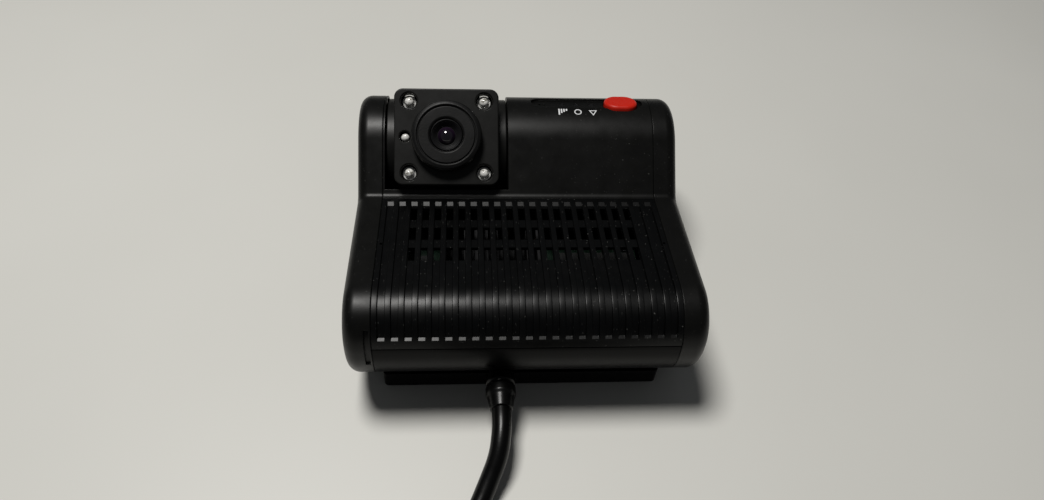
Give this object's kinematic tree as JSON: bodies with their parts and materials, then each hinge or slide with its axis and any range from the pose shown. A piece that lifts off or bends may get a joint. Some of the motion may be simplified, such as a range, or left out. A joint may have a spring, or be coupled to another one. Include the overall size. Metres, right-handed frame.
{
  "type": "dash camera",
  "caption": "Twin dash camera with a ribbed vented casing, a tilting cabin camera with infrared lights, a tilting road camera, a record button, a windscreen bracket and a fixed power cable.",
  "frame": {"origin": "centre of the adhesive pad's lower face, which lies on the surface", "axes": "+X along the casing from the cabin camera towards the record button, +Y from the cable side towards the head, +Z away from the windscreen or table"},
  "size_m": [0.127, 0.2668, 0.0753],
  "materials": {
    "casing_black": "satin",
    "cover_black": "fine grain",
    "bracket_black": "semi gloss",
    "trim_black": "satin",
    "lens_black": "matt",
    "lens_glass": "coated",
    "clear_resin": "clear",
    "button_red": "satin",
    "screw_steel": "zinc plated",
    "pin_steel": "ground",
    "board_green": "solder mask",
    "chip_black": "moulded",
    "can_metal": "tinned",
    "heat_sink_metal": "anodised",
    "gap_pad": "soft",
    "capacitor_sleeve": "sleeve",
    "ceramic": "ceramic",
    "flex": "film",
    "bearing_plastic": "low friction",
    "adhesive_foam": "foam",
    "cable_rubber": "satin",
    "card_black": "card",
    "card_white": "card"
  },
  "bodies": {
    "casing": {"rear_shell": "casing_black", "front_panel": "casing_black", "ribbed_cover": "cover_black", "left_end_cap": "casing_black", "right_end_cap": "casing_black", "left_side_plate": "casing_black", "right_side_plate": "casing_black", "end_screws": "screw_steel", "bracket_plate": "bracket_black", "adhesive_pad": "adhesive_foam", "bracket_lock_screws": "screw_steel", "drum_bulkheads": "trim_black", "drum_bushes": "bearing_plastic", "main_board": "board_green", "board_screws": "screw_steel", "processor_chips": "chip_black", "thermal_pad": "gap_pad", "heat_sink": "heat_sink_metal", "modem_module": "can_metal", "backup_capacitors": "capacitor_sleeve", "speaker": "chip_black", "positioning_antenna": "ceramic", "cellular_antenna": "flex", "card_sockets": "can_metal", "memory_card": "card_black", "sim_card": "card_white", "status_board": "board_green", "button_switch": "chip_black", "status_light_pipes": "clear_resin", "microphone": "chip_black", "door_hinge_pin": "pin_steel", "road_brackets": "trim_black", "cable_socket": "chip_black", "cable_boot": "cable_rubber", "cable_lead": "cable_rubber", "cable_coil": "cable_rubber", "cable_tie": "cable_rubber", "cable_plug": "chip_black"},
    "record_button": {"record_button": "button_red"},
    "card_door": {"card_door": "casing_black"},
    "cabin_camera": {"drum_shell": "trim_black", "face_plate": "trim_black", "lens_ring": "trim_black", "lens_barrel": "lens_black", "lens_glass": "lens_glass", "infrared_lights": "clear_resin", "light_sensor": "clear_resin", "light_board": "board_green", "cabin_camera_board": "board_green"},
    "road_camera": {"road_drum": "trim_black", "road_lens_ring": "trim_black", "road_lens_barrel": "lens_black", "road_lens_glass": "lens_glass", "road_camera_board": "board_green"}
  },
  "joints": [
    {"name": "cabin_camera_tilt", "type": "hinge", "parent": "casing", "child": "cabin_camera", "pos_m": [-0.0286, 0.0588, 0.0437], "axis": [-1, 0, 0], "range_deg": [0, 50]},
    {"name": "road_camera_tilt", "type": "hinge", "parent": "casing", "child": "road_camera", "pos_m": [0.025, 0.05662, 0.02607], "axis": [1, 0, 0], "range_deg": [-20, 20]},
    {"name": "record_button_press", "type": "slide", "parent": "casing", "child": "record_button", "axis": [0, -0.2419, -0.9703], "range_m": [0, 0.001], "stiffness_N_per_m": 900, "springref_m": -0.0004},
    {"name": "card_door_hinge", "type": "hinge", "parent": "casing", "child": "card_door", "pos_m": [-0.062, -0.00075, 0.0172], "axis": [0, -1, 0], "range_deg": [0, 90]}
  ]
}
